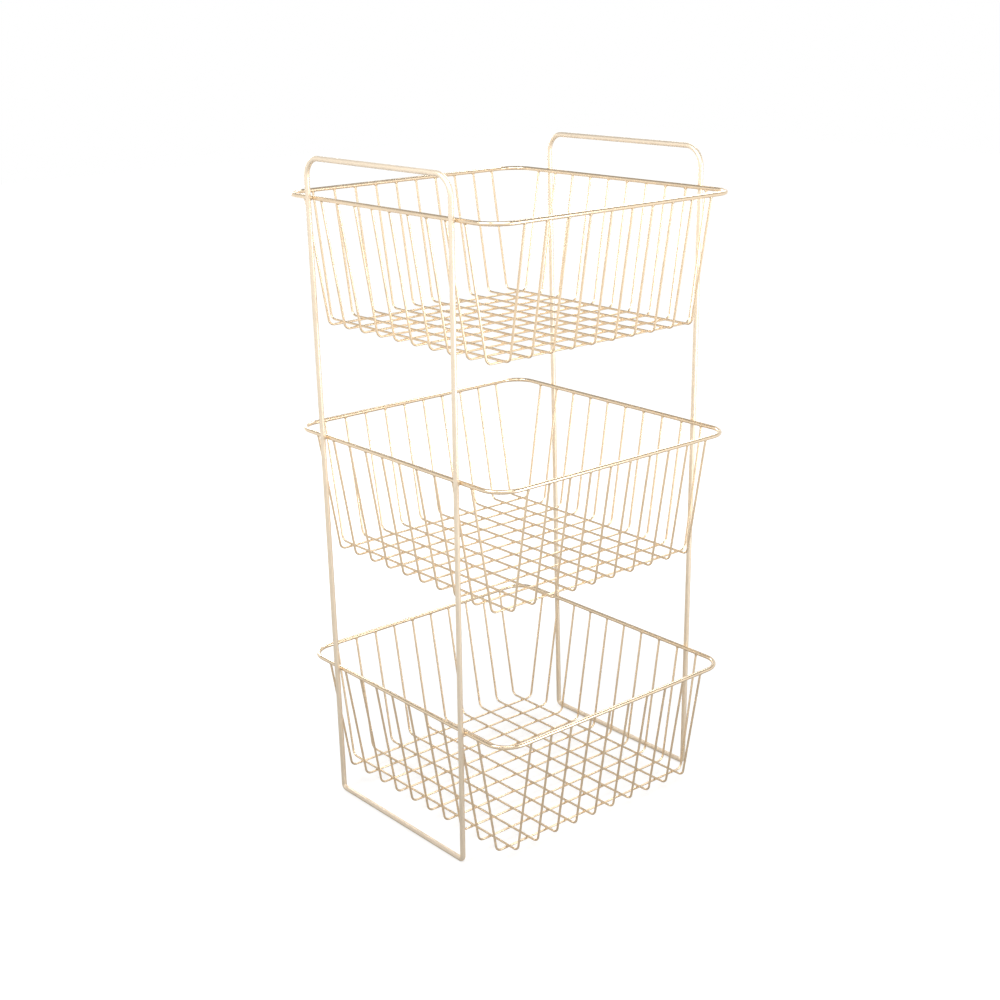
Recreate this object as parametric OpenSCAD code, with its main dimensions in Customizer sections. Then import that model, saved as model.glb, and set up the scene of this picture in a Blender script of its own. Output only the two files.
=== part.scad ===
// Three-tier wire basket tower.
// Two closed side frames of thick wire carry three equal baskets of thin wire, welded where wires cross.
// X runs from the left frame to the right one, -Y is the front and Z is up. The origin is on the ground,
// under the middle of the tower.

/* [Side frames] */
// Diameter of the frame wire
frame_d = 5.5; // [4:0.1:8]
// Distance between a frame's two posts at the ground, between the wires' centres
frame_foot_w = 211; // [190:1:240]
// Distance between a frame's two posts at the handle bar, between the wires' centres
frame_top_w = 231; // [190:1:260]
// Radius of the bends at the ground, to the wire's centre
frame_foot_r = 4.5; // [3.5:0.5:20]
// Radius of the bends at the handle bar, to the wire's centre
frame_top_r = 20; // [8:1:34]
// Height of the handle bar above the upper rim, between the wires' centres
handle_rise = 40.25; // [38:0.25:80]

/* [Tiers] */
// Gap between the ground and the lower basket's floor
ground_gap = 10.5; // [6:0.5:60]
// Height of the middle rim above the lower rim, between the wires' centres
middle_rise = 262.5; // [200:0.5:320]
// Height of the upper rim above the middle rim, between the wires' centres
upper_rise = 248; // [200:1:320]

/* [Baskets] */
// Width of a basket from side to side, over its rim
basket_w = 320; // [310:1:340]
// Length of a basket from front to back, over its rim
basket_l = 340; // [326:1:380]
// Depth of a basket, from its rim's centre to its floor's underside
basket_depth = 136; // [90:1:160]
// Diameter of the rim wire
rim_d = 4.5; // [3:0.1:7]
// Radius of the rim's corners, to the wire's centre
rim_corner_r = 25; // [10:1:34]
// How far the left and right walls lean in from the rim to the floor
lean_w = 22; // [8:0.5:26]
// How far the front and back walls lean in from the rim to the floor
lean_l = 23.5; // [8:0.5:30]

/* [Basket wires] */
// Diameter of the thin wires
wire_d = 2.4; // [1.6:0.1:3]
// Radius of the thin wires' bends, to the wire's centre
wire_bend_r = 7; // [4:0.5:10]
// Distance between the outermost long wires, which run from front to back
long_wire_span = 243; // [200:1:252]
// Distance between the outermost cross wires, which run from side to side
cross_wire_span = 255.5; // [200:0.5:266]

/* [Hidden] */
TIERS = ["lower", "middle", "upper"];
// Mirrored pairs of wires in each direction of a basket, pair 1 nearest the middle
PAIRS = 5;
$fn = 32;

gold = [0.87, 0.79, 0.68];

// A bend in wire swells by a hair, and takes in the ends of the straight runs that it joins.
bend_swell = 0.04;
bend_lap = 0.3;

lower_rim_z = ground_gap + basket_depth;
middle_rim_z = lower_rim_z + middle_rise;
upper_rim_z = middle_rim_z + upper_rise;
rim_z = [lower_rim_z, middle_rim_z, upper_rim_z];

// Half sizes to the wires' centres
rim_x = (basket_w - rim_d) / 2;
rim_y = (basket_l - rim_d) / 2;
frame_x = (basket_w + frame_d) / 2;
// The bends of the base bar stand on the ground.
base_bar_z = (frame_d + bend_swell) / 2;
handle_z = upper_rim_z + handle_rise;

// Drops from a rim's centre to the floor wires' centres: the long wires lie on the cross wires.
cross_wire_drop = basket_depth - wire_d / 2;
long_wire_drop = cross_wire_drop - wire_d;

// Where wire number pair stands, from the middle, in a row of 2 * PAIRS equally spaced wires
function offset_of(pair, span) = (pair - 0.5) * span / (2 * PAIRS - 1);

// Wire paths lie in a plane: points with a heading between them, in degrees, and a turn at each corner.
function heading(a, b) = atan2(b.y - a.y, b.x - a.x);
function turn(before, corner, after) =
    (heading(corner, after) - heading(before, corner) + 540) % 360 - 180;
function unit(a, b) = (b - a) / norm(b - a);
// Distance from a corner to where its bend begins
function setback(angle, r) = r * tan(abs(angle) / 2);
// The same, less what the straight run reaches into the bend
function trim(angle, r) = angle == 0 ? 0 : setback(angle, r) - bend_lap;

module straight_run(a, b, d) {
    translate([a.x, a.y, 0])
        rotate([0, 90, heading(a, b)])
            cylinder(d = d, h = norm(b - a));
}

module bend(before, corner, after, r, d) {
    angle = turn(before, corner, after);
    side = sign(angle);
    along = unit(before, corner);
    centre = corner - setback(angle, r) * along + side * r * [-along.y, along.x];
    translate([centre.x, centre.y, 0])
        rotate(heading(before, corner) - side * 90)
            rotate_extrude(angle = angle)
                translate([r, 0])
                    circle(d = d + bend_swell);
}

// One length of wire through the points, with a bend of radius radii[i] at point i
module bent_wire(points, radii, d, closed) {
    n = len(points);
    corners = closed ? [0:n - 1] : [1:n - 2];
    angles = [for (i = [0:n - 1]) !closed && (i == 0 || i == n - 1) ? 0
        : turn(points[(i + n - 1) % n], points[i], points[(i + 1) % n])];
    for (i = [0:closed ? n - 1 : n - 2]) {
        j = (i + 1) % n;
        along = unit(points[i], points[j]);
        straight_run(points[i] + trim(angles[i], radii[i]) * along,
                     points[j] - trim(angles[j], radii[j]) * along, d);
    }
    for (i = corners)
        bend(points[(i + n - 1) % n], points[i], points[(i + 1) % n], radii[i], d);
}

// A U of thin wire, whose two ends butt against the underside of the rim
module u_wire(rim_half, lean, drop) {
    rim = [rim_half, drop];
    foot = [rim_half - lean, 0];
    end = rim + rim_d / 2 * unit(rim, foot);
    bent_wire([[-end.x, end.y], [-foot.x, 0], foot, end], [0, wire_bend_r, wire_bend_r, 0], wire_d, false);
}

module side_frame(side) {
    foot = frame_foot_w / 2;
    top = frame_top_w / 2;
    color(gold)
        translate([side * frame_x, 0, 0])
            rotate([90, 0, 90])
                bent_wire([[-foot, base_bar_z], [foot, base_bar_z], [top, handle_z], [-top, handle_z]],
                          [frame_foot_r, frame_foot_r, frame_top_r, frame_top_r], frame_d, true);
}

module rim(z) {
    r = rim_corner_r;
    color(gold)
        translate([0, 0, z])
            bent_wire([[-rim_x, -rim_y], [rim_x, -rim_y], [rim_x, rim_y], [-rim_x, rim_y]],
                      [r, r, r, r], rim_d, true);
}

module cross_wires(z, pair) {
    color(gold)
        for (side = [-1, 1])
            translate([0, side * offset_of(pair, cross_wire_span), z - cross_wire_drop])
                rotate([90, 0, 0])
                    u_wire(rim_x, lean_w, cross_wire_drop);
}

module long_wires(z, pair) {
    color(gold)
        for (side = [-1, 1])
            translate([side * offset_of(pair, long_wire_span), 0, z - long_wire_drop])
                rotate([90, 0, 90])
                    u_wire(rim_y, lean_l, long_wire_drop);
}

side_frame(-1);  // left_frame
side_frame(1);  // right_frame
for (i = [0:len(TIERS) - 1]) {
    rim(rim_z[i]);
    for (pair = [1:PAIRS]) {
        cross_wires(rim_z[i], pair);
        long_wires(rim_z[i], pair);
    }
}
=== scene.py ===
# %% [markdown]
# # A three-tier wire basket tower
# The real tower is welded from round steel wire in three thicknesses: thick wire for the two side
# frames, medium wire for the three rims, and thin wire for everything that the baskets are woven
# out of. The whole thing is then finished in pale gold. This script rebuilds each length of wire
# as a smooth round tube around the exact model, adds the welds that hold it together, and gives
# the finish its small flaws.

# %% Load the exact model
import math

import bpy
from mathutils import Matrix, Vector


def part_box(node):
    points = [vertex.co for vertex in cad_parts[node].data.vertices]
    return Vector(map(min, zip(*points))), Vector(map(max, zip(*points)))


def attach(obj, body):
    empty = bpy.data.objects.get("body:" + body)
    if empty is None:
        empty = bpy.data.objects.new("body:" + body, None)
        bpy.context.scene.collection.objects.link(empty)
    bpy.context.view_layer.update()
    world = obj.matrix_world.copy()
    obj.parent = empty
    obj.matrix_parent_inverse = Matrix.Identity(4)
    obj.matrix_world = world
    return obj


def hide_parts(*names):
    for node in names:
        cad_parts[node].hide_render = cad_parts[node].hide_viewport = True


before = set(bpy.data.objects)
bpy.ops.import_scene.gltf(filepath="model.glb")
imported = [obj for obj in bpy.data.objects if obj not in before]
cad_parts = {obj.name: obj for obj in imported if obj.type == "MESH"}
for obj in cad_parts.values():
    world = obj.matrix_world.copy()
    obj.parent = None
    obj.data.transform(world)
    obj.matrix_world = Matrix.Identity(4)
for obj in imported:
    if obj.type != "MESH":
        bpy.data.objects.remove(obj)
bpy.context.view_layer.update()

# %% [markdown]
# ## Sizes
# A wire is known by its thickness, by the corners that it is bent at and by the radius of each
# bend. Thicknesses and radii are written here once. Heights and reaches are measured on the
# model's own boxes, so that every tube lands where the model has its wire.

# %% Sizes of the wire
MM = 0.001
FRAME_WIRE = 5.5 * MM
RIM_WIRE = 4.5 * MM
THIN_WIRE = 2.4 * MM
FRAME_FOOT_WIDTH = 211 * MM
FRAME_FOOT_BEND = 4.5 * MM
FRAME_TOP_BEND = 20 * MM
RIM_CORNER_BEND = 25 * MM
THIN_WIRE_BEND = 7 * MM
LEAN_OF_SIDE_WALLS = 22 * MM
LEAN_OF_END_WALLS = 23.5 * MM
TIERS = ("lower", "middle", "upper")
PAIRS = 5
X, Y, Z = 0, 1, 2


def middle_of(node, axis):
    """Middle of a node's box along one axis."""
    low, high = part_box(node)
    return (low[axis] + high[axis]) / 2


def reach_of(node, axis, thickness):
    """Distance from a node's middle to the centre of its outermost wire, along one axis."""
    low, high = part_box(node)
    return (high[axis] - low[axis] - thickness) / 2


RIM_X = reach_of("lower_rim", X, RIM_WIRE)
RIM_Y = reach_of("lower_rim", Y, RIM_WIRE)
RIM_HEIGHT = {tier: middle_of(tier + "_rim", Z) for tier in TIERS}
CROSS_HEIGHT = {tier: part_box(tier + "_cross_wires_1")[0][Z] + THIN_WIRE / 2 for tier in TIERS}
CROSS_REACH = reach_of("lower_cross_wires_5", Y, THIN_WIRE)
LONG_REACH = reach_of("lower_long_wires_5", X, THIN_WIRE)
print("Rims at", {tier: round(height, 4) for tier, height in RIM_HEIGHT.items()})

# %% [markdown]
# ## Building node trees
# Geometry Nodes and shader groups are both node trees, so one small kit builds them all. A helper
# makes a tree with named sockets, and another adds a node and fills its inputs either with values
# or with links. Some nodes keep several sockets of one name and show only the one in use, so the
# helper looks for that one.

# %% A kit for node trees
def socket_of(sockets, key):
    """The socket in use with that name, or with that number."""
    if isinstance(key, int):
        return sockets[key]
    return next(socket for socket in sockets if socket.name == key and socket.enabled)


def add_node(tree, kind, inputs=None, **settings):
    """Adds a node, sets its properties and fills its inputs with values or links."""
    made = tree.nodes.new(kind)
    for name, value in settings.items():
        setattr(made, name, value)
    for key, value in (inputs or {}).items():
        if isinstance(value, bpy.types.NodeSocket):
            tree.links.new(value, socket_of(made.inputs, key))
        else:
            socket_of(made.inputs, key).default_value = value
    return made


def new_tree(name, kind, inputs, outputs):
    """A tree with its named sockets, its input node and its output node."""
    tree = bpy.data.node_groups.new(name, kind)
    for label, socket_type in inputs:
        tree.interface.new_socket(label, in_out="INPUT", socket_type=socket_type)
    for label, socket_type in outputs:
        tree.interface.new_socket(label, in_out="OUTPUT", socket_type=socket_type)
    return tree, tree.nodes.new("NodeGroupInput").outputs, tree.nodes.new("NodeGroupOutput")


GEOMETRY = "NodeSocketGeometry"
FLOAT = "NodeSocketFloat"
INTEGER = "NodeSocketInt"
VECTOR = "NodeSocketVector"
MATERIAL = "NodeSocketMaterial"

# %% [markdown]
# ## Bending a wire
# A workshop bends a straight wire at a few corners over a round former. The tree below does the
# same: it takes a path of straight runs, rounds each corner by the radius stored on that corner,
# and sweeps a circle along the result. Sweeping gives perfectly even wire with very few faces,
# which is why it is chosen over a sculpted or subdivided mesh.

# %% Geometry Nodes: one bent wire
def bent_wire_tree():
    """Path of corners in, round wire with smooth bends out."""
    tree, given, result = new_tree(
        "bent wire", "GeometryNodeTree",
        [("Path", GEOMETRY), ("Diameter", FLOAT), ("Sides", INTEGER), ("Bend steps", INTEGER),
         ("Finish", MATERIAL)],
        [("Wire", GEOMETRY)])
    radius = add_node(
        tree, "GeometryNodeInputNamedAttribute", {"Name": "bend"}, data_type="FLOAT")
    line = add_node(tree, "GeometryNodeMeshToCurve", {"Mesh": given["Path"]})
    bent = add_node(tree, "GeometryNodeFilletCurve", {
        "Curve": line.outputs["Curve"],
        "Count": given["Bend steps"],
        "Radius": socket_of(radius.outputs, "Attribute"),
        "Limit Radius": True}, mode="POLY")
    half = add_node(tree, "ShaderNodeMath", {0: given["Diameter"], 1: 0.5}, operation="MULTIPLY")
    ring = add_node(tree, "GeometryNodeCurvePrimitiveCircle", {
        "Resolution": given["Sides"],
        "Radius": half.outputs["Value"]})
    tube = add_node(tree, "GeometryNodeCurveToMesh", {
        "Curve": bent.outputs["Curve"],
        "Profile Curve": ring.outputs["Curve"],
        "Fill Caps": True})
    smooth = add_node(tree, "GeometryNodeSetShadeSmooth", {"Geometry": tube.outputs["Mesh"]})
    real = add_node(tree, "GeometryNodeRealizeInstances", {"Geometry": smooth.outputs["Geometry"]})
    finished = add_node(tree, "GeometryNodeSetMaterial", {
        "Geometry": real.outputs["Geometry"],
        "Material": given["Finish"]})
    tree.links.new(finished.outputs["Geometry"], result.inputs["Wire"])
    return tree


BENT_WIRE = bent_wire_tree()

# %% [markdown]
# ## A row of equal wires
# Each basket has ten equal wires one way and ten the other. A jig holds them at even steps while
# they are welded. The second tree bends one wire with the first tree, and sets a copy at every
# step of a straight row.

# %% Geometry Nodes: a row of wires
def wire_row_tree():
    """One path in, an evenly spaced row of bent wires out."""
    tree, given, result = new_tree(
        "wire row", "GeometryNodeTree",
        [("Path", GEOMETRY), ("Diameter", FLOAT), ("Sides", INTEGER), ("Bend steps", INTEGER),
         ("Count", INTEGER), ("First place", VECTOR), ("Step", VECTOR), ("Finish", MATERIAL)],
        [("Row", GEOMETRY)])
    wire = add_node(tree, "GeometryNodeGroup", {
        "Path": given["Path"],
        "Diameter": given["Diameter"],
        "Sides": given["Sides"],
        "Bend steps": given["Bend steps"],
        "Finish": given["Finish"]}, node_tree=BENT_WIRE)
    places = add_node(tree, "GeometryNodeMeshLine", {
        "Count": given["Count"],
        "Start Location": given["First place"],
        "Offset": given["Step"]}, mode="OFFSET")
    row = add_node(tree, "GeometryNodeInstanceOnPoints", {
        "Points": places.outputs["Mesh"],
        "Instance": wire.outputs["Wire"]})
    real = add_node(tree, "GeometryNodeRealizeInstances", {"Geometry": row.outputs["Instances"]})
    finished = add_node(tree, "GeometryNodeSetMaterial", {
        "Geometry": real.outputs["Geometry"],
        "Material": given["Finish"]})
    tree.links.new(finished.outputs["Geometry"], result.inputs["Row"])
    return tree


WIRE_ROW = wire_row_tree()

# %% [markdown]
# ## Welds
# Where two wires touch, a spot weld melts them together and leaves a small soft bead. There are
# hundreds, so each bead is a ball of a few dozen faces, stretched to the shape of its joint. The
# tree sets one on every given point, turns it as the point says and makes no two quite alike.

# %% Geometry Nodes: weld beads
BEAD_SEGMENTS = 10
BEAD_RINGS = 6


def weld_tree():
    """Points with a turn in, stretched and slightly uneven beads out."""
    tree, given, result = new_tree(
        "weld beads", "GeometryNodeTree",
        [("Places", GEOMETRY), ("Half size", VECTOR), ("Smallest", FLOAT), ("Largest", FLOAT),
         ("Seed", INTEGER), ("Finish", MATERIAL)],
        [("Welds", GEOMETRY)])
    bead = add_node(tree, "GeometryNodeMeshUVSphere", {
        "Segments": BEAD_SEGMENTS, "Rings": BEAD_RINGS, "Radius": 1.0})
    smooth = add_node(tree, "GeometryNodeSetShadeSmooth", {"Geometry": bead.outputs["Mesh"]})
    turn = add_node(
        tree, "GeometryNodeInputNamedAttribute", {"Name": "turn"}, data_type="FLOAT_VECTOR")
    rotation = add_node(tree, "FunctionNodeEulerToRotation", {
        "Euler": socket_of(turn.outputs, "Attribute")})
    chance = add_node(tree, "FunctionNodeRandomValue", {
        "Min": given["Smallest"],
        "Max": given["Largest"],
        "Seed": given["Seed"]}, data_type="FLOAT")
    size = add_node(tree, "ShaderNodeVectorMath", {
        "Vector": given["Half size"],
        "Scale": socket_of(chance.outputs, "Value")}, operation="SCALE")
    beads = add_node(tree, "GeometryNodeInstanceOnPoints", {
        "Points": given["Places"],
        "Instance": smooth.outputs["Geometry"],
        "Rotation": rotation.outputs["Rotation"],
        "Scale": size.outputs["Vector"]})
    real = add_node(tree, "GeometryNodeRealizeInstances", {"Geometry": beads.outputs["Instances"]})
    finished = add_node(tree, "GeometryNodeSetMaterial", {
        "Geometry": real.outputs["Geometry"],
        "Material": given["Finish"]})
    tree.links.new(finished.outputs["Geometry"], result.inputs["Welds"])
    return tree


WELD_BEADS = weld_tree()

# %% [markdown]
# ## Running a tree
# A tree runs as a modifier on a starting mesh. The corners of a path, or the places of the welds,
# are that mesh, with their radii or turns stored on its points. The result is kept as a plain mesh
# whose object sits at the origin, and the starting mesh is thrown away.

# %% Run a tree on a starting mesh
def starting_mesh(name, points, links, attribute, kind, values):
    """An object with points, the links between them and one value on each point."""
    mesh = bpy.data.meshes.new(name + "_start")
    mesh.from_pydata([tuple(point) for point in points], links, [])
    stored = mesh.attributes.new(attribute, kind, "POINT")
    for item, value in zip(stored.data, values):
        if kind == "FLOAT":
            item.value = value
        else:
            item.vector = value
    start = bpy.data.objects.new(name + "_start", mesh)
    bpy.context.scene.collection.objects.link(start)
    return start


def grow(tree, name, start, values):
    """Runs the tree on the starting object and keeps the result as a plain mesh."""
    modifier = start.modifiers.new(tree.name, "NODES")
    modifier.node_group = tree
    for socket in tree.interface.items_tree:
        if socket.item_type == "SOCKET" and socket.in_out == "INPUT" and socket.name in values:
            modifier[socket.identifier] = values[socket.name]
    depsgraph = bpy.context.evaluated_depsgraph_get()
    mesh = bpy.data.meshes.new_from_object(start.evaluated_get(depsgraph), depsgraph=depsgraph)
    mesh.name = name
    bpy.data.objects.remove(start)
    piece = bpy.data.objects.new(name, mesh)
    bpy.context.scene.collection.objects.link(piece)
    print(name, "has", len(mesh.polygons), "faces")
    return piece


def path(name, corners, bends, closed):
    """A starting object that runs through the corners, with a bend radius at each."""
    count = len(corners)
    links = [(i, (i + 1) % count) for i in range(count if closed else count - 1)]
    return starting_mesh(name, corners, links, "bend", "FLOAT", bends)


def fit_to_body(piece, slot, *nodes):
    """The piece rides on the tower's one body and stands for the nodes named."""
    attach(piece, "root")
    if nodes:
        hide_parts(*nodes)


# %% [markdown]
# ## The coat
# The finish is a pale gold metal coat with a thin clear lacquer over it, put on after welding.
# Close up it is not flat: it has a faint orange-peel ripple and fine flake, and patches where it
# went on a little thicker. These effects are shared by every wire, so they are one shader group
# that puts out plain values, and each material decides how strongly to use them.

# %% Shader group: lacquer texture
def ramp(tree, value, low, high, start=0.0, end=1.0):
    """Goes from low to high while a value goes from start to end."""
    spread = add_node(tree, "ShaderNodeMapRange", {
        "Value": value, "From Min": start, "From Max": end, "To Min": low, "To Max": high})
    return spread.outputs["Result"]


def lacquer_group():
    """Patches of thicker coat, fine flake and orange-peel height."""
    tree, given, result = new_tree(
        "lacquer texture", "ShaderNodeTree",
        [("Vector", VECTOR), ("Patch scale", FLOAT), ("Flake scale", FLOAT),
         ("Peel scale", FLOAT)],
        [("Patches", FLOAT), ("Flake", FLOAT), ("Peel", FLOAT)])
    patches = add_node(tree, "ShaderNodeTexNoise", {
        "Vector": given["Vector"],
        "Scale": given["Patch scale"],
        "Detail": 3.0,
        "Roughness": 0.55})
    spread = ramp(tree, patches.outputs["Fac"], 0.0, 1.0, start=0.35, end=0.65)
    flake = add_node(tree, "ShaderNodeTexVoronoi", {
        "Vector": given["Vector"], "Scale": given["Flake scale"]})
    grey = add_node(tree, "ShaderNodeRGBToBW", {"Color": flake.outputs["Color"]})
    peel = add_node(tree, "ShaderNodeTexNoise", {
        "Vector": given["Vector"], "Scale": given["Peel scale"], "Detail": 1.0})
    tree.links.new(spread, result.inputs["Patches"])
    tree.links.new(grey.outputs["Val"], result.inputs["Flake"])
    tree.links.new(peel.outputs["Fac"], result.inputs["Peel"])
    return tree


LACQUER = lacquer_group()

# %% [markdown]
# Handling leaves its own marks. The undersides that stand on a shelf rub through to bare steel,
# and a little dust settles on whatever faces up. Both depend only on the height and the direction
# of the surface, so they are a second group.

# %% Shader group: rubbed feet and settled dust
RUB_HEIGHT = 1.1 * MM


def handling_group():
    """Masks for the rubbed underside of the base bars and for dust on top."""
    tree, given, result = new_tree(
        "handling marks", "ShaderNodeTree",
        [("Vector", VECTOR), ("Scale", FLOAT)],
        [("Rubbed", FLOAT), ("Dust", FLOAT)])
    height = add_node(tree, "ShaderNodeSeparateXYZ", {"Vector": given["Vector"]})
    breakup = add_node(tree, "ShaderNodeTexNoise", {
        "Vector": given["Vector"], "Scale": given["Scale"], "Detail": 4.0, "Roughness": 0.6})
    low = ramp(tree, height.outputs["Z"], 0.0, 1.0, start=RUB_HEIGHT, end=0.0)
    patchy = ramp(tree, breakup.outputs["Fac"], 0.0, 1.0, start=0.4, end=0.55)
    rubbed = add_node(tree, "ShaderNodeMath", {0: low, 1: patchy}, operation="MULTIPLY")
    surface = add_node(tree, "ShaderNodeNewGeometry")
    facing = add_node(tree, "ShaderNodeSeparateXYZ", {"Vector": surface.outputs["Normal"]})
    upward = ramp(tree, facing.outputs["Z"], 0.0, 1.0, start=0.55, end=1.0)
    dust = add_node(tree, "ShaderNodeMath", {
        0: upward, 1: breakup.outputs["Fac"]}, operation="MULTIPLY")
    tree.links.new(rubbed.outputs["Value"], result.inputs["Rubbed"])
    tree.links.new(dust.outputs["Value"], result.inputs["Dust"])
    return tree


HANDLING = handling_group()

# %% [markdown]
# Four finishes share these groups: the coat on the frame wire, on the rims, on the thin wire, and
# on the welds, where the heat has left it duller and a shade browner. All three wires carry one
# gold coat: the thick frame wire gets a paler copy of it, a painted highlight, and a more satin
# finish, while the rims and the thin wire are clear gold with bright glints and dark cores, the
# thin wire a painted shade darker than the rims. The lacquer over them is the same everywhere,
# and so is how strongly flake, dust and ripple show.

# %% The coated finishes
STEEL = (0.36, 0.34, 0.32, 1.0)
DUST = (0.80, 0.77, 0.72, 1.0)
FLAKE = (1.0, 0.94, 0.84, 1.0)
# Painted highlight: the frame wire's gold is the same coat painted paler, standing in for the
# brighter light on the frames.
PAINTED_HIGHLIGHT_GOLD = (0.97, 0.82, 0.63, 1.0)
PALE_GOLD = (0.87, 0.69, 0.475, 1.0)
# Painted shade: the thin wire's gold is the same coat painted a shade darker than the rims',
# standing in for shade on the thin wires.
PAINTED_SHADE_GOLD = (0.86, 0.67, 0.45, 1.0)
PATCH_SCALE = 60.0
FLAKE_SCALE = 2600.0
PEEL_SCALE = 900.0
MARK_SCALE = 220.0
FLAKE_STRENGTH = 0.14
DUST_STRENGTH = 0.16
ROUGHER_PATCHES = 0.10
PEEL_STRENGTH = 0.35
BASE_SPECULAR = 0.30
LACQUER_WEIGHT = 0.10
LACQUER_ROUGHNESS = 0.20


def blend(tree, amount, base, over, kind="RGBA"):
    """Mixes two colours or two values by a mask."""
    mixed = add_node(tree, "ShaderNodeMix", {
        "Factor": amount, "A": base, "B": over}, data_type=kind)
    return socket_of(mixed.outputs, "Result")


def coat(name, pale, deep, roughness, metallic, peel_depth):
    """A metal finish under lacquer, with patches, flake, ripple, rubbed feet and dust."""
    material = bpy.data.materials.new(name)
    material.use_nodes = True
    tree = material.node_tree
    shader = tree.nodes["Principled BSDF"]
    place = add_node(tree, "ShaderNodeTexCoord").outputs["Object"]
    lacquer = add_node(tree, "ShaderNodeGroup", {
        "Vector": place,
        "Patch scale": PATCH_SCALE,
        "Flake scale": FLAKE_SCALE,
        "Peel scale": PEEL_SCALE}, node_tree=LACQUER).outputs
    marks = add_node(tree, "ShaderNodeGroup", {
        "Vector": place, "Scale": MARK_SCALE}, node_tree=HANDLING).outputs
    tone = blend(tree, lacquer["Patches"], pale, deep)
    flecked = blend(tree, ramp(tree, lacquer["Flake"], 0.0, FLAKE_STRENGTH), tone, FLAKE)
    dusty = blend(tree, ramp(tree, marks["Dust"], 0.0, DUST_STRENGTH), flecked, DUST)
    worn = blend(tree, marks["Rubbed"], dusty, STEEL)
    tree.links.new(worn, shader.inputs["Base Color"])
    rough = ramp(tree, lacquer["Patches"], roughness, roughness + ROUGHER_PATCHES)
    tree.links.new(rough, shader.inputs["Roughness"])
    shader.inputs["Metallic"].default_value = metallic
    shader.inputs["Specular IOR Level"].default_value = BASE_SPECULAR
    shader.inputs["Coat Weight"].default_value = LACQUER_WEIGHT
    shader.inputs["Coat Roughness"].default_value = LACQUER_ROUGHNESS
    bump = add_node(tree, "ShaderNodeBump", {
        "Strength": PEEL_STRENGTH, "Distance": peel_depth, "Height": lacquer["Peel"]})
    tree.links.new(bump.outputs["Normal"], shader.inputs["Normal"])
    return material


def shaded(colour, share):
    """The same colour, darkened to a share of itself."""
    return tuple(channel * share for channel in colour[:3]) + (1.0,)


FRAME_COAT = coat("frame_coat", PAINTED_HIGHLIGHT_GOLD, shaded(PAINTED_HIGHLIGHT_GOLD, 0.93),
                  roughness=0.36, metallic=0.65, peel_depth=0.10 * MM)
RIM_COAT = coat("rim_coat", PALE_GOLD, shaded(PALE_GOLD, 0.90),
                roughness=0.18, metallic=1.0, peel_depth=0.08 * MM)
THIN_COAT = coat("thin_wire_coat", PAINTED_SHADE_GOLD, shaded(PAINTED_SHADE_GOLD, 0.85),
                 roughness=0.24, metallic=1.0, peel_depth=0.05 * MM)
WELD_COAT = coat("weld_coat", shaded(PAINTED_SHADE_GOLD, 0.90), shaded(PAINTED_SHADE_GOLD, 0.72),
                 roughness=0.32, metallic=0.8, peel_depth=0.12 * MM)
print("Finishes:", [m.name for m in (FRAME_COAT, RIM_COAT, THIN_COAT, WELD_COAT)])

# %% [markdown]
# ## The side frames
# Each side frame is one closed loop of the thickest wire. Its foot is a little narrower than its
# handle bar, and its top bends are wide enough for a hand. The thicker a wire, the more sides its
# tube needs to look round close up.

# %% Side frames
FRAME_SIDES = 24
FRAME_BEND_STEPS = 12
FRAME_TOP = reach_of("left_frame", Y, FRAME_WIRE)
FRAME_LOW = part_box("left_frame")[0][Z] + FRAME_WIRE / 2
FRAME_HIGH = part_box("left_frame")[1][Z] - FRAME_WIRE / 2


def frame_corners(x):
    """Corners of a side frame's loop, from the front foot round to the front of the handle bar."""
    foot = FRAME_FOOT_WIDTH / 2
    return [(x, -foot, FRAME_LOW), (x, foot, FRAME_LOW),
            (x, FRAME_TOP, FRAME_HIGH), (x, -FRAME_TOP, FRAME_HIGH)]


for side in ("left", "right"):
    node = side + "_frame"
    bends = [FRAME_FOOT_BEND, FRAME_FOOT_BEND, FRAME_TOP_BEND, FRAME_TOP_BEND]
    start = path(node, frame_corners(middle_of(node, X)), bends, closed=True)
    piece = grow(BENT_WIRE, side + "_side_frame", start, {
        "Diameter": FRAME_WIRE, "Sides": FRAME_SIDES, "Bend steps": FRAME_BEND_STEPS,
        "Finish": FRAME_COAT})
    fit_to_body(piece, "frame_wire", node)

# %% [markdown]
# ## The rims
# A rim is a rounded rectangle of medium wire, closed with one butt weld. All three are alike.

# %% Rims
RIM_SIDES = 20
RIM_BEND_STEPS = 12

for tier in TIERS:
    z = RIM_HEIGHT[tier]
    corners = [(-RIM_X, -RIM_Y, z), (RIM_X, -RIM_Y, z), (RIM_X, RIM_Y, z), (-RIM_X, RIM_Y, z)]
    start = path(tier + "_rim", corners, [RIM_CORNER_BEND] * 4, closed=True)
    piece = grow(BENT_WIRE, tier + "_rim_wire", start, {
        "Diameter": RIM_WIRE, "Sides": RIM_SIDES, "Bend steps": RIM_BEND_STEPS,
        "Finish": RIM_COAT})
    fit_to_body(piece, "rim_wire", tier + "_rim")

# %% [markdown]
# ## The thin wires
# Every thin wire is a wide U: up one wall, bent, across the floor, bent, and up the other wall to
# the underside of the rim. The long wires, from front to back, lie on top of the cross wires.

# %% Rows of thin wires
THIN_SIDES = 14
THIN_BEND_STEPS = 8


def u_corners(rim_reach, lean, floor_drop):
    """Ends and feet of a U in its own plane: distance across and height from the rim."""
    along = Vector((-lean, -floor_drop)).normalized()
    end = Vector((rim_reach, 0.0)) + along * RIM_WIRE / 2
    foot = Vector((rim_reach - lean, -floor_drop))
    return [(-end[0], end[1]), (-foot[0], foot[1]), tuple(foot), tuple(end)]


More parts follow.
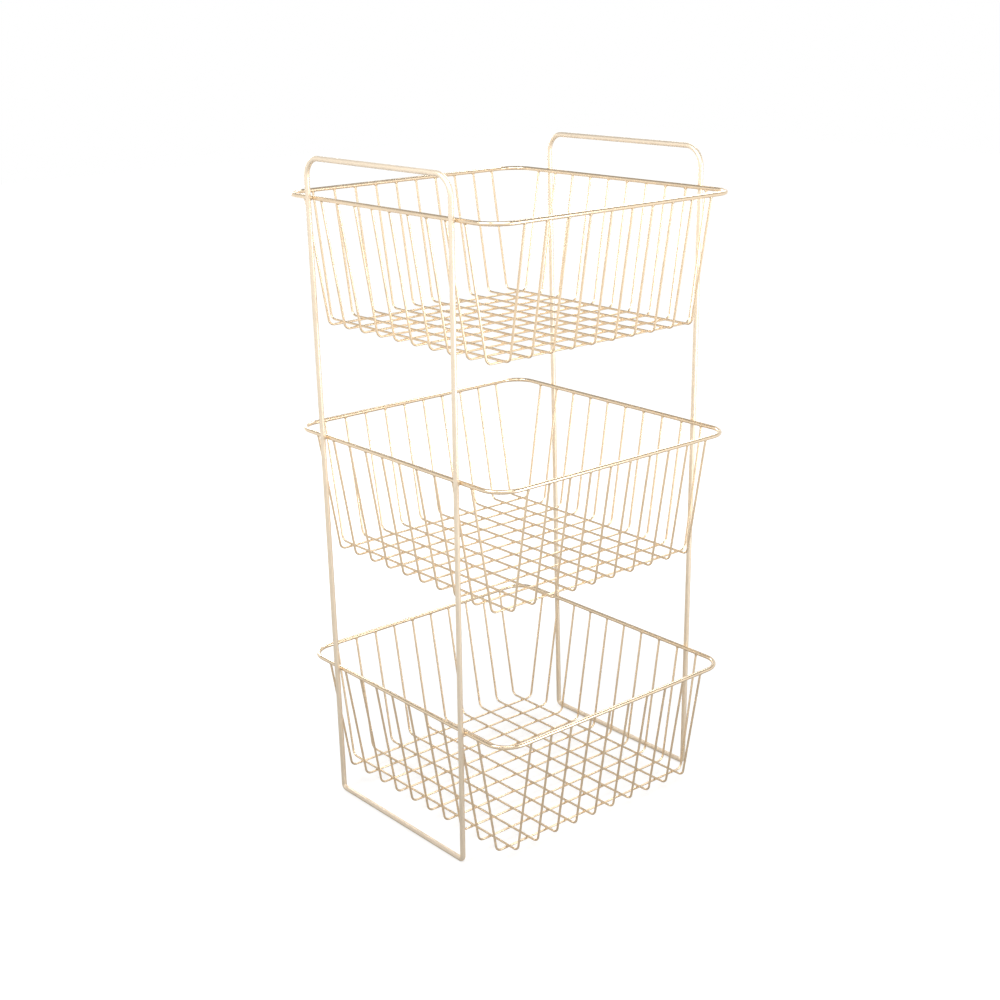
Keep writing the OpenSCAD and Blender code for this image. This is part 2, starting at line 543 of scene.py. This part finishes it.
def thin_wire_row(tier, name, corners, first, step):
    """Ten equal wires, and the five nodes that they stand for."""
    bends = [0.0, THIN_WIRE_BEND, THIN_WIRE_BEND, 0.0]
    start = path(tier + name, corners, bends, closed=False)
    piece = grow(WIRE_ROW, f"{tier}_{name}_row", start, {
        "Diameter": THIN_WIRE, "Sides": THIN_SIDES, "Bend steps": THIN_BEND_STEPS,
        "Count": 2 * PAIRS, "First place": first, "Step": step, "Finish": THIN_COAT})
    nodes = [f"{tier}_{name}_wires_{pair}" for pair in range(1, PAIRS + 1)]
    fit_to_body(piece, "thin_wire", *nodes)


CROSS_STEP = 2 * CROSS_REACH / (2 * PAIRS - 1)
LONG_STEP = 2 * LONG_REACH / (2 * PAIRS - 1)
for tier in TIERS:
    z = RIM_HEIGHT[tier]
    cross_drop = z - CROSS_HEIGHT[tier]
    long_drop = cross_drop - THIN_WIRE
    cross = [(u, 0.0, z + v) for u, v in u_corners(RIM_X, LEAN_OF_SIDE_WALLS, cross_drop)]
    thin_wire_row(tier, "cross", cross, (0.0, -CROSS_REACH, 0.0), (0.0, CROSS_STEP, 0.0))
    long = [(0.0, u, z + v) for u, v in u_corners(RIM_Y, LEAN_OF_END_WALLS, long_drop)]
    thin_wire_row(tier, "long", long, (-LONG_REACH, 0.0, 0.0), (LONG_STEP, 0.0, 0.0))
print("Wires stand", round(CROSS_STEP / MM, 1), "and", round(LONG_STEP / MM, 1), "mm apart")

# %% [markdown]
# ## Setting the welds
# The floor has a weld at each crossing, between the two layers. Each wire end has one under the
# rim, stretched along it. Each rim has four against the posts, halfway between the two wires.

# %% Welds
STEPS = range(2 * PAIRS)
CROSS_PLACES = [-CROSS_REACH + i * CROSS_STEP for i in STEPS]
LONG_PLACES = [-LONG_REACH + i * LONG_STEP for i in STEPS]
FLOOR_WELD = (1.45 * MM, 1.45 * MM, 1.15 * MM)
END_WELD = (2.2 * MM, 1.5 * MM, 1.3 * MM)
POST_WELD = (1.7 * MM, 2.6 * MM, 2.7 * MM)
FRAME_X = middle_of("right_frame", X)
POST_CONTACT = (RIM_X + RIM_WIRE / 2 + FRAME_X - FRAME_WIRE / 2) / 2
ALONG_X = (0.0, 0.0, 0.0)
ALONG_Y = (0.0, 0.0, math.radians(90))
SMALLEST_WELD = 0.88
LARGEST_WELD = 1.08


def weld_group(name, places, turns, half_size, seed):
    """Beads at the places given, as one piece."""
    start = starting_mesh(name, places, [], "turn", "FLOAT_VECTOR", turns)
    piece = grow(WELD_BEADS, name, start, {
        "Half size": half_size, "Smallest": SMALLEST_WELD, "Largest": LARGEST_WELD,
        "Seed": seed, "Finish": WELD_COAT})
    fit_to_body(piece, "thin_wire")


def post_y(z):
    """Distance of a post's centre from the middle, at a height."""
    share = (z - FRAME_LOW) / (FRAME_HIGH - FRAME_LOW)
    return FRAME_FOOT_WIDTH / 2 + (FRAME_TOP - FRAME_FOOT_WIDTH / 2) * share


def end_points(rim_reach, lean, floor_drop):
    """Distance across and height of a wire's end, under the rim."""
    return u_corners(rim_reach, lean, floor_drop)[3]


for number, tier in enumerate(TIERS):
    z = RIM_HEIGHT[tier]
    drop = z - CROSS_HEIGHT[tier]
    layer = CROSS_HEIGHT[tier] + THIN_WIRE / 2
    floor = [(x, y, layer) for x in LONG_PLACES for y in CROSS_PLACES]
    weld_group(tier + "_floor_welds", floor, [ALONG_X] * len(floor), FLOOR_WELD, number)
    cross_x, cross_z = end_points(RIM_X, LEAN_OF_SIDE_WALLS, drop)
    long_y, long_z = end_points(RIM_Y, LEAN_OF_END_WALLS, drop - THIN_WIRE)
    side_ends = [(s * cross_x, y, z + cross_z) for s in (-1, 1) for y in CROSS_PLACES]
    front_ends = [(x, s * long_y, z + long_z) for s in (-1, 1) for x in LONG_PLACES]
    turns = [ALONG_Y] * len(side_ends) + [ALONG_X] * len(front_ends)
    weld_group(tier + "_rim_welds", side_ends + front_ends, turns, END_WELD, number + 10)
    posts = [(s * POST_CONTACT, t * post_y(z), z) for s in (-1, 1) for t in (-1, 1)]
    weld_group(tier + "_post_welds", posts, [ALONG_X] * len(posts), POST_WELD, number + 20)

# %% [markdown]
# ## The floor and the light
# The tower stands on a white sweep, and everything around it is white to the camera. Polished wire
# shows its surroundings, so these need a shape: far off, the floor and the walls are the same
# white in the metal too, while overhead the room is dim and close by the floor is plain grey. That
# gives each wire its dark core, more of it the lower it stands. What the surroundings throw on the
# wire stays low, because the lamps light it at a plain level.

# %% The floor
FLOOR_SIZE = 12.0
FLOOR_GREY = 0.50
FLOOR_NEAR = 0.3
FLOOR_SEEN_FAR = 1.0
FLOOR_MIRRORED_FAR = 1.6
FLOOR_SEEN_LEVEL = 0.66
FLOOR_MIRRORED_LEVEL = 0.18
FLOOR_ROUGHNESS = 0.9
WHITE = (1.0, 1.0, 1.0, 1.0)


def background_level(tree, seen, mirrored, thrown):
    """Three levels: what the camera sees, what metal or glass shows, and what lights the tower."""
    light = add_node(tree, "ShaderNodeLightPath").outputs
    polished = add_node(tree, "ShaderNodeMath", {
        0: light["Is Glossy Ray"], 1: light["Is Transmission Ray"]}, operation="MAXIMUM")
    unseen = blend(tree, polished.outputs["Value"], thrown, mirrored, kind="FLOAT")
    return blend(tree, light["Is Camera Ray"], unseen, seen, kind="FLOAT")


def floor_material():
    """Matt grey that keeps a shadow, and grows to white with the distance from the tower."""
    material = bpy.data.materials.new("white_sweep")
    material.use_nodes = True
    tree = material.node_tree
    shader = tree.nodes["Principled BSDF"]
    shader.inputs["Base Color"].default_value = (FLOOR_GREY, FLOOR_GREY, FLOOR_GREY, 1.0)
    shader.inputs["Roughness"].default_value = FLOOR_ROUGHNESS
    shader.inputs["Specular IOR Level"].default_value = 0.0
    shader.inputs["Emission Color"].default_value = WHITE
    place = add_node(tree, "ShaderNodeTexCoord").outputs["Object"]
    away = add_node(tree, "ShaderNodeVectorMath", {0: place}, operation="LENGTH").outputs["Value"]
    seen = ramp(tree, away, FLOOR_SEEN_LEVEL, 1.0, start=FLOOR_NEAR, end=FLOOR_SEEN_FAR)
    mirrored = ramp(
        tree, away, FLOOR_MIRRORED_LEVEL, 1.0, start=FLOOR_NEAR, end=FLOOR_MIRRORED_FAR)
    tree.links.new(background_level(tree, seen, mirrored, 0.0), shader.inputs["Emission Strength"])
    return material


half = FLOOR_SIZE / 2
floor_corners = [(-half, -half, 0), (half, -half, 0), (half, half, 0), (-half, half, 0)]
floor_mesh = bpy.data.meshes.new("floor")
floor_mesh.from_pydata(floor_corners, [], [(0, 1, 2, 3)])
floor_mesh.materials.append(floor_material())
floor_piece = bpy.data.objects.new("floor", floor_mesh)
bpy.context.scene.collection.objects.link(floor_piece)

# %% [markdown]
# The world is a sphere around everything. Heights on it go from 0 at the horizon to 1 straight up:
# in the metal it is white up to the top of the walls, and from there it falls off to the dim room
# overhead. Five weak lamps light the wires from all sides, since every side of them shows.

# %% The world and the lamps
WORLD_LEVEL = 0.08
OVERHEAD_LEVEL = 0.40
WALL_TOP = 0.28
OVERHEAD = 0.60
LAMP_WIDTH = 0.5
TOWER_MIDDLE = Vector((0.0, 0.0, 0.4))


def white_world():
    """White wherever the camera sees it, and dim overhead in the metal."""
    world = bpy.data.worlds.new("studio")
    world.use_nodes = True
    tree = world.node_tree
    background = tree.nodes["Background"]
    background.inputs["Color"].default_value = WHITE
    way = add_node(tree, "ShaderNodeTexCoord").outputs["Generated"]
    climb = add_node(tree, "ShaderNodeSeparateXYZ", {"Vector": way}).outputs["Z"]
    mirrored = ramp(tree, climb, 1.0, OVERHEAD_LEVEL, start=WALL_TOP, end=OVERHEAD)
    level = background_level(tree, 1.0, mirrored, WORLD_LEVEL)
    tree.links.new(level, background.inputs["Strength"])
    return world


def softbox(name, place, power):
    """A square lamp at one place, turned to the middle of the tower and hidden from the camera."""
    data = bpy.data.lights.new(name, "AREA")
    data.size = LAMP_WIDTH
    data.energy = power
    lamp = bpy.data.objects.new(name, data)
    lamp.location = place
    lamp.rotation_mode = "QUATERNION"
    lamp.rotation_quaternion = (Vector(place) - TOWER_MIDDLE).to_track_quat("Z", "Y")
    lamp.visible_camera = False
    bpy.context.scene.collection.objects.link(lamp)


LAMPS = (
    ("key_light", (0.5, -1.3, 0.45), 8.0),
    ("left_light", (-0.9, 0.0, 1.3), 8.0),
    ("top_light", (-0.25, -0.45, 1.05), 2.7),
    ("right_light", (0.9, 0.3, 1.3), 5.0),
    ("back_light", (0.3, 1.3, 0.7), 6.0),
)
bpy.context.scene.world = white_world()
for name, place, power in LAMPS:
    softbox(name, place, power)
bpy.context.scene.view_settings.view_transform = "Standard"

# %% [markdown]
# ## The camera
# The camera stands a little above the tower and looks at its front left corner. Its place and lens
# were worked out from the lines of the rims, posts and bars, so that the picture has the same
# perspective. The picture is square, one thousand pixels wide.

# %% The camera
IMAGE_WIDTH = 1000
SENSOR_WIDTH = 36.0
FOCAL_PIXELS = 1596.1
TURN = math.radians(-39.99)
TILT = math.radians(18.01)
ROLL = math.radians(-1.07)
DISTANCE = 1.7144
AIM_ACROSS = -0.01195
AIM_HEIGHT = 0.3302


def photo_camera():
    """A camera at the measured angle, distance and roll."""
    forward = Vector((
        -math.sin(TURN) * math.cos(TILT), math.cos(TURN) * math.cos(TILT), -math.sin(TILT)))
    level_right = Vector((math.cos(TURN), math.sin(TURN), 0.0))
    level_up = level_right.cross(forward)
    right = level_right * math.cos(ROLL) + level_up * math.sin(ROLL)
    up = level_up * math.cos(ROLL) - level_right * math.sin(ROLL)
    target = level_right * AIM_ACROSS + Vector((0.0, 0.0, AIM_HEIGHT))
    data = bpy.data.cameras.new("camera")
    data.sensor_width = SENSOR_WIDTH
    data.lens = SENSOR_WIDTH * FOCAL_PIXELS / IMAGE_WIDTH
    camera = bpy.data.objects.new("camera", data)
    turned = Matrix((right, up, -forward)).transposed().to_4x4()
    camera.matrix_world = Matrix.Translation(target - forward * DISTANCE) @ turned
    bpy.context.scene.collection.objects.link(camera)
    return camera


bpy.context.scene.camera = photo_camera()
print("The lens is", round(bpy.context.scene.camera.data.lens, 2), "mm")
